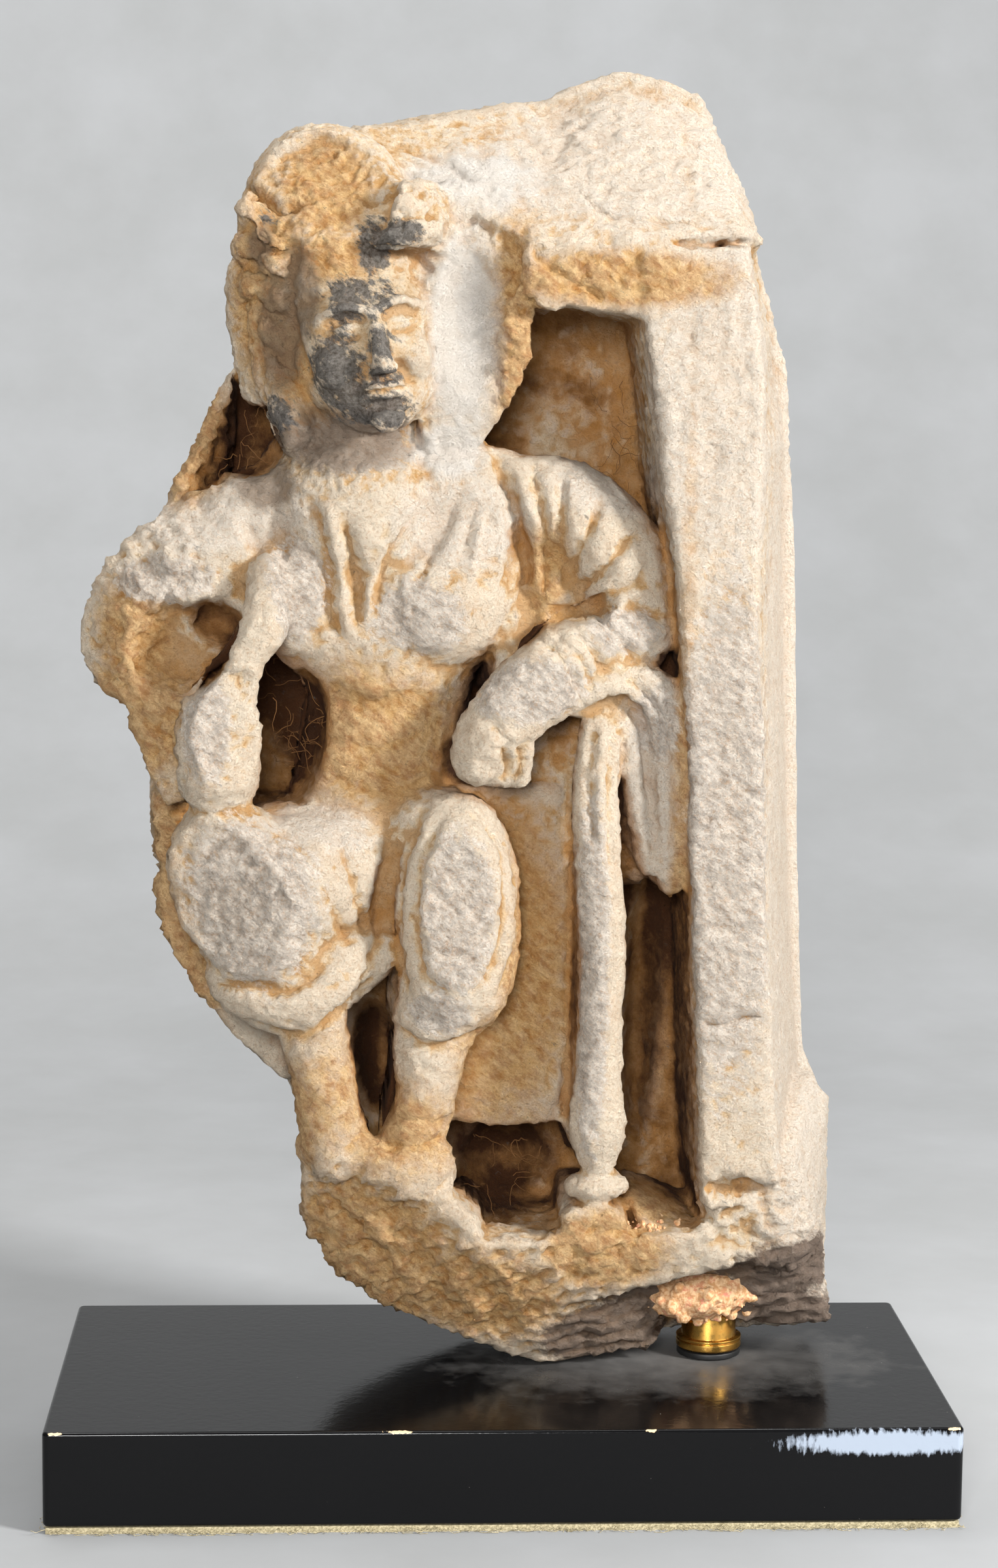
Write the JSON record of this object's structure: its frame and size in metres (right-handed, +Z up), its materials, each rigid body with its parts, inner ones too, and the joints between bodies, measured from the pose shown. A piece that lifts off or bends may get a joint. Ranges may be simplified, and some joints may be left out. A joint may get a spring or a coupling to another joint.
{
  "type": "stone relief panel",
  "caption": "Fragment of a carved schist relief: a seated figure with a staff beside a plain pilaster, mounted on a brass collar over a painted wooden base.",
  "frame": {"origin": "centre of the underside of the felt pad", "axes": "+Z up, the carved front faces -Y, +X to the viewer's right"},
  "size_m": [0.19, 0.09, 0.3013],
  "materials": {
    "schist": "worn grey schist under sandy ochre soil",
    "mortar": "coarse sandy mortar with pink grains",
    "brass": "turned and polished",
    "black_fibre": "black washer",
    "black_gloss_paint": "black gloss paint on wood, edges worn",
    "felt": "napped felt"
  },
  "bodies": {
    "root": {"stone_relief": "schist", "mortar_fill": "mortar", "brass_collar": "brass", "collar_washer": "black_fibre", "wood_base": "black_gloss_paint", "felt_pad": "felt"}
  },
  "joints": []
}
